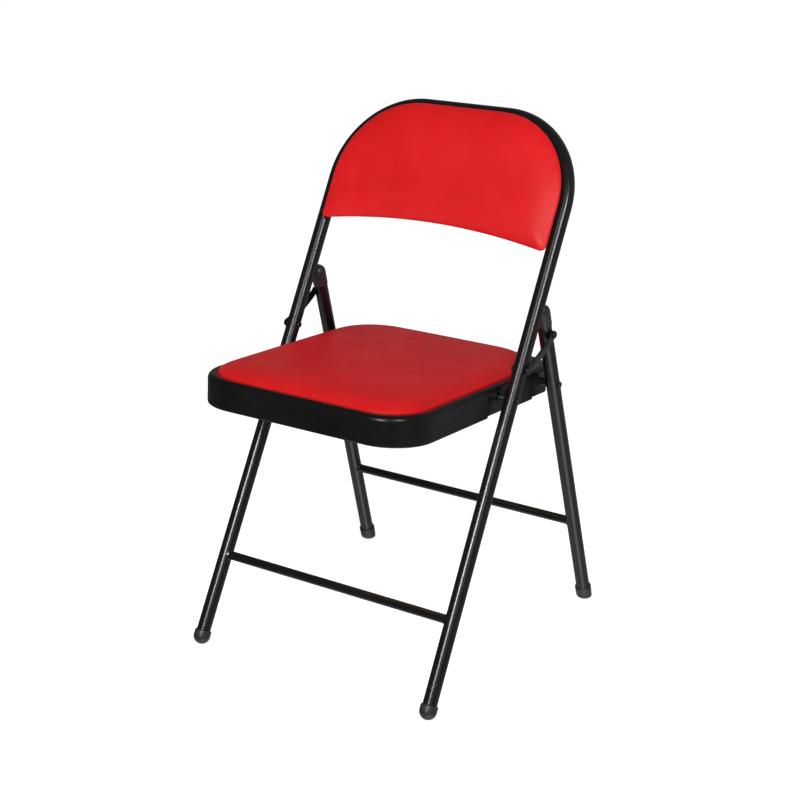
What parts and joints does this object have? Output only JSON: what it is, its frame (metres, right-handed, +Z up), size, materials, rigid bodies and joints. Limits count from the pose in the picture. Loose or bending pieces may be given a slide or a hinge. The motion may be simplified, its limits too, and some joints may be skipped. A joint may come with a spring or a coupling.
{
  "type": "padded folding chair",
  "caption": "Padded folding chair with a round tube hoop frame, cushioned seat in a steel rim, cushioned back rest and scissor-folding rear legs.",
  "frame": {"origin": "centre of the footprint's box on the floor, with the chair open", "axes": "+Z up, the sitter faces -Y, +X is at the right hand of someone looking at the chair's front"},
  "size_m": [0.4636, 0.5233, 0.8103],
  "materials": {
    "black_paint": "gloss black paint on steel",
    "black_rubber": "satin dark grey rubber",
    "red_vinyl": "smooth red vinyl with a soft sheen",
    "rivet_steel": "blackened steel",
    "plywood": "raw plywood",
    "zinc_steel": "zinc plated",
    "back_cover": "matt black backing on hardboard"
  },
  "bodies": {
    "front_frame": {"hoop_tube": "black_paint", "front_brace": "black_paint", "foot_cap_front_left": "black_rubber", "foot_cap_front_right": "black_rubber", "back_board": "back_cover", "back_cushion": "red_vinyl", "back_tab_lower_left": "black_paint", "back_tab_lower_right": "black_paint", "back_tab_upper_left": "black_paint", "back_tab_upper_right": "black_paint", "back_screw_lower_left": "zinc_steel", "back_screw_lower_right": "zinc_steel", "back_screw_upper_left": "zinc_steel", "back_screw_upper_right": "zinc_steel", "link_rivet_left": "rivet_steel", "link_rivet_right": "rivet_steel", "seat_rivet_left": "rivet_steel", "seat_rivet_right": "rivet_steel", "seat_bush_left": "zinc_steel", "seat_bush_right": "zinc_steel"},
    "seat": {"seat_rim": "black_paint", "seat_board": "plywood", "seat_cushion": "red_vinyl", "seat_tab_front_left": "black_paint", "seat_tab_front_right": "black_paint", "seat_tab_rear_left": "black_paint", "seat_tab_rear_right": "black_paint", "seat_screw_front_left": "zinc_steel", "seat_screw_front_right": "zinc_steel", "seat_screw_rear_left": "zinc_steel", "seat_screw_rear_right": "zinc_steel", "leg_rivet_left": "rivet_steel", "leg_rivet_right": "rivet_steel", "leg_bush_left": "zinc_steel", "leg_bush_right": "zinc_steel"},
    "rear_legs": {"rear_leg_left": "black_paint", "rear_leg_right": "black_paint", "rear_brace": "black_paint", "foot_cap_rear_left": "black_rubber", "foot_cap_rear_right": "black_rubber", "leg_top_cap_left": "black_rubber", "leg_top_cap_right": "black_rubber"},
    "fold_links": {"fold_link_left": "black_paint", "fold_link_right": "black_paint", "link_end_rivet_left": "rivet_steel", "link_end_rivet_right": "rivet_steel"}
  },
  "joints": [
    {"name": "seat_pivot", "type": "hinge", "parent": "front_frame", "child": "seat", "pos_m": [0, 0.00053, 0.42205], "axis": [-1, 0, 0], "range_deg": [0, 98.4]},
    {"name": "rear_leg_pivot", "type": "hinge", "parent": "seat", "child": "rear_legs", "pos_m": [0, 0.1275, 0.4102], "axis": [-1, 0, 0], "range_deg": [-52.7, 0]},
    {"name": "link_pivot", "type": "hinge", "parent": "front_frame", "child": "fold_links", "pos_m": [0, 0.02371, 0.46328], "axis": [-1, 0, 0], "range_deg": [0, 120]}
  ],
  "couplings": [
    {"joint": "rear_leg_pivot", "follows": "seat_pivot", "ratio": -0.5351},
    {"joint": "link_pivot", "follows": "seat_pivot", "ratio": 1.219}
  ]
}
